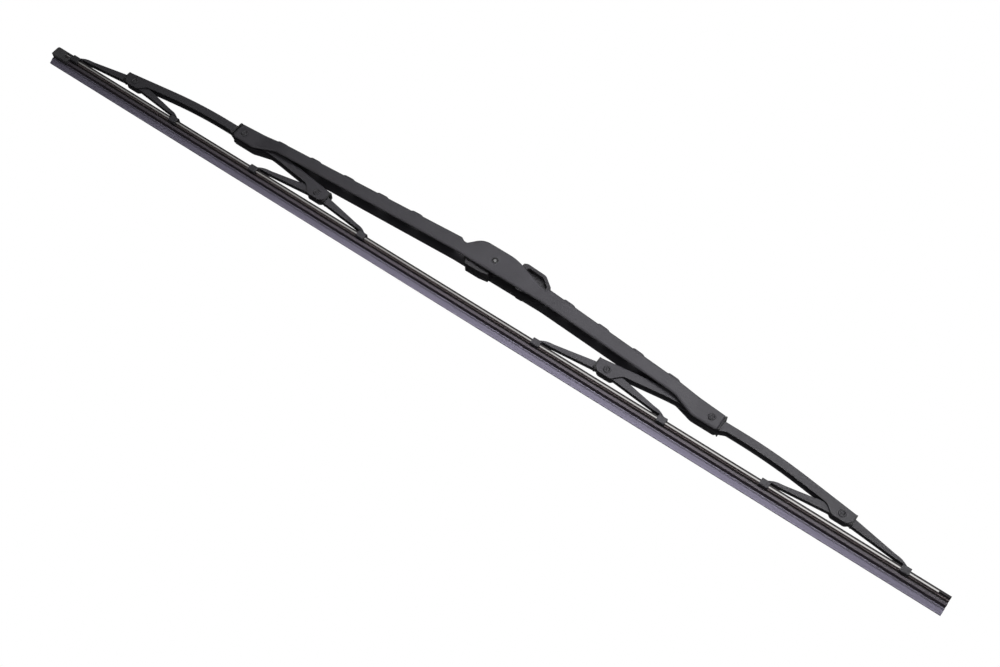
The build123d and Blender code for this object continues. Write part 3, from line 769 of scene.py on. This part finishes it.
# %% Sweep the rubber and the rails
ring_pitch = 2.0 * mm
rubber_corner = 0.22 * mm
rail_corner = 0.18 * mm
rubber_finish = coated_rubber(
    "squeegee_rubber", rail=rail_level, flange=rail_level - flange_bottom * mm,
    shoulder=rail_level - shoulder_top * mm, lip=rail_level - lip_top * mm,
    edge=rail_level - edge_bottom * mm)


def on_strip(x):
    """The point on the strip's middle line at a place along the blade."""
    return (x, 0.0, rail_level)


def strip_length(name, outline, corner, finish, length, end):
    """One length of a strip, swept from the length's start to the given end."""
    start = length["start"]
    piece = made_by(swept_section, name, {
        "Section": outline, "Start": on_strip(start), "End": on_strip(end),
        "Rings": round(abs(end - start) / ring_pitch) + 1, "Corner": corner, "Finish": finish})
    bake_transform(piece)
    return piece


for number, length in enumerate(lengths, start=1):
    rubber = strip_length(f"squeegee_{number}", squeegee_outline, rubber_corner, rubber_finish,
                          length, length["rubber_end"])
    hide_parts("rubber_squeegee")
    rails = strip_length(f"rails_{number}", rails_outline, rail_corner, finishes["rail_steel"],
                         length, length["rail_end"])
    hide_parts("flexor_rail_front", "flexor_rail_back")
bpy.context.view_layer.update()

# %% [markdown]
# ## Rivets
# Each pivot is a spun rivet: its end is rolled outwards into a ring, with a groove round a button.
# Discs and rings could be stacked up to that shape, but turning half a profile round the rivet's
# axis gives it in one closed skin. Geometry Nodes then set one rivet on every pivot of a lever,
# because the pivots of one lever are all alike.

# %% A rivet turned from its profile, in millimetres: radius, and height over the wall
rivet_steps = 40
shank_radius = 1.3
head_tall = 0.6
head_profile = [(2.03, 0.0), (2.15, 0.12), (2.15, 0.30), (1.99, 0.50), (1.73, head_tall), (1.49, 0.57),
                (1.27, 0.34), (1.11, 0.12), (0.80, 0.10), (0.66, 0.24), (0.40, 0.36), (0.0, 0.38)]
merge_gap = 0.001 * mm


def rivet_mesh(name, half):
    """A rivet along Y for a channel with walls at plus and minus half."""
    end = half / mm
    upper = [(shank_radius, 0.0), (shank_radius, end)] + [(r, end + rise) for r, rise in head_profile]
    profile = [(r, -y) for r, y in reversed(upper[1:])] + upper
    lathe = bmesh.new()
    loop = [lathe.verts.new((r * mm, y * mm, 0.0)) for r, y in profile]
    edges = [lathe.edges.new(pair) for pair in zip(loop, loop[1:])]
    bmesh.ops.spin(lathe, geom=loop + edges, cent=(0, 0, 0), axis=(0, 1, 0), angle=math.tau,
                   steps=rivet_steps, use_merge=True)
    bmesh.ops.remove_doubles(lathe, verts=lathe.verts, dist=merge_gap)
    bmesh.ops.recalc_face_normals(lathe, faces=lathe.faces)
    mesh = bpy.data.meshes.new(name)
    lathe.to_mesh(mesh)
    lathe.free()
    mesh.shade_smooth()
    return bpy.data.objects.new(name, mesh)


print("rivet head:", len(head_profile), "points in its profile")


# %% One rivet on every pivot of a lever
def rivet_tree():
    """Sets a rivet on each point of the carrier mesh."""
    tree, given = new_tree("rivets_on_pivots", [
        ("Pivots", "NodeSocketGeometry"), ("Rivet", "NodeSocketObject"),
        ("Finish", "NodeSocketMaterial")])
    rivet = feed(tree, add_node(tree, "GeometryNodeObjectInfo"), {"Object": given["Rivet"]})
    set_out = feed(tree, add_node(tree, "GeometryNodeInstanceOnPoints"), {
        "Points": given["Pivots"], "Instance": rivet.outputs["Geometry"]})
    return close_tree(tree, set_out.outputs[0], given["Finish"])


rivets_on_pivots = rivet_tree()
riveted = {
    "bridge": {"secondary_left": "bridge_pivot_rivet_left",
               "secondary_right": "bridge_pivot_rivet_right"},
    "secondary_left": {"yoke_inner_left": "inner_yoke_rivet_left",
                       "yoke_outer_left": "outer_yoke_rivet_left"},
    "secondary_right": {"yoke_inner_right": "inner_yoke_rivet_right",
                        "yoke_outer_right": "outer_yoke_rivet_right"},
}
for lever, held in riveted.items():
    points = bpy.data.meshes.new(lever + "_pivots")
    points.from_pydata([pivot[child] for child in held], [], [])
    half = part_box(next(iter(held.values())))[1].y - head_tall * mm
    rivets = made_by(rivets_on_pivots, lever + "_rivets", carrier=points, values={
        "Rivet": rivet_mesh(lever + "_rivet", half), "Finish": finishes["rivet_steel"]})
    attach(rivets, lever)
    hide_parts(*held.values())
    print(rivets.name, "faces:", len(rivets.data.polygons))
